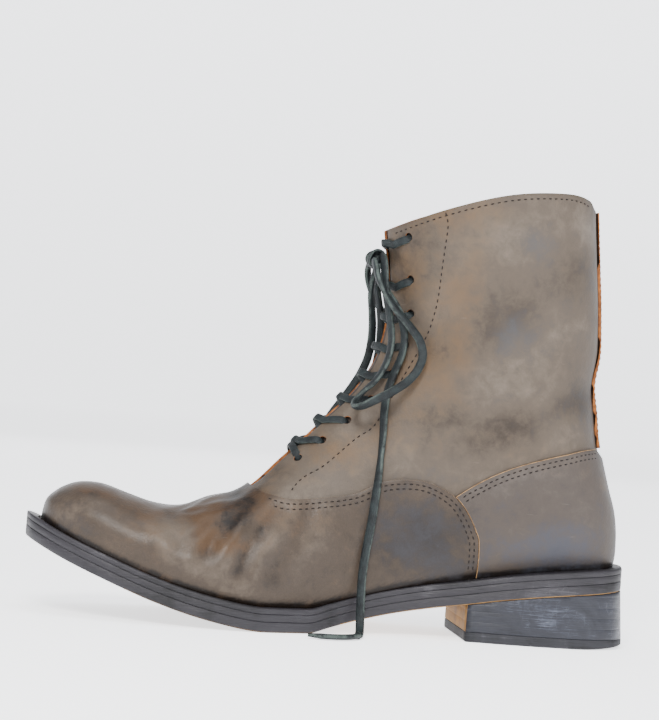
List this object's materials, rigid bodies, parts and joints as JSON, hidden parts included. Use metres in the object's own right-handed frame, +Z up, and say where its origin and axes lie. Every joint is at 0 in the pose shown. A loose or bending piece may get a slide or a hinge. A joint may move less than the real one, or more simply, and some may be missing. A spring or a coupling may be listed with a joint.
{
  "type": "lace-up boot",
  "caption": "Right lace-up leather boot with a stacked heel, a welted leather sole, nine pairs of punched lace holes and a leather lace tied in a bow.",
  "frame": {"origin": "centre of the heel's flat bottom face, on the floor", "axes": "+X towards the toe, +Y towards the wearer's left, which is the medial side, +Z up"},
  "size_m": [0.3103, 0.1168, 0.2298],
  "materials": {
    "upper_leather": "oiled, distressed, semi-matt",
    "sole_leather": "inked and waxed edge",
    "heel_rubber": "matt",
    "lining_leather": "plain, smooth",
    "lace_leather": "waxed"
  },
  "bodies": {
    "root": {"outsole": "sole_leather", "midsole": "sole_leather", "welt": "sole_leather", "heel_stack": "sole_leather", "heel_top_piece": "heel_rubber", "insole": "lining_leather", "upper": "upper_leather", "vamp": "upper_leather", "heel_counter": "upper_leather", "backstay": "upper_leather", "tongue": "lining_leather", "lace_crossing_1": "lace_leather", "lace_crossing_2": "lace_leather", "lace_crossing_3": "lace_leather", "lace_crossing_4": "lace_leather", "lace_crossing_5": "lace_leather", "lace_crossing_6": "lace_leather", "lace_crossing_7": "lace_leather", "lace_crossing_8": "lace_leather", "lace_crossing_9": "lace_leather", "lace_knot": "lace_leather", "lace_loop_near": "lace_leather", "lace_loop_far": "lace_leather", "lace_end_short": "lace_leather", "lace_end_long": "lace_leather"}
  },
  "joints": []
}
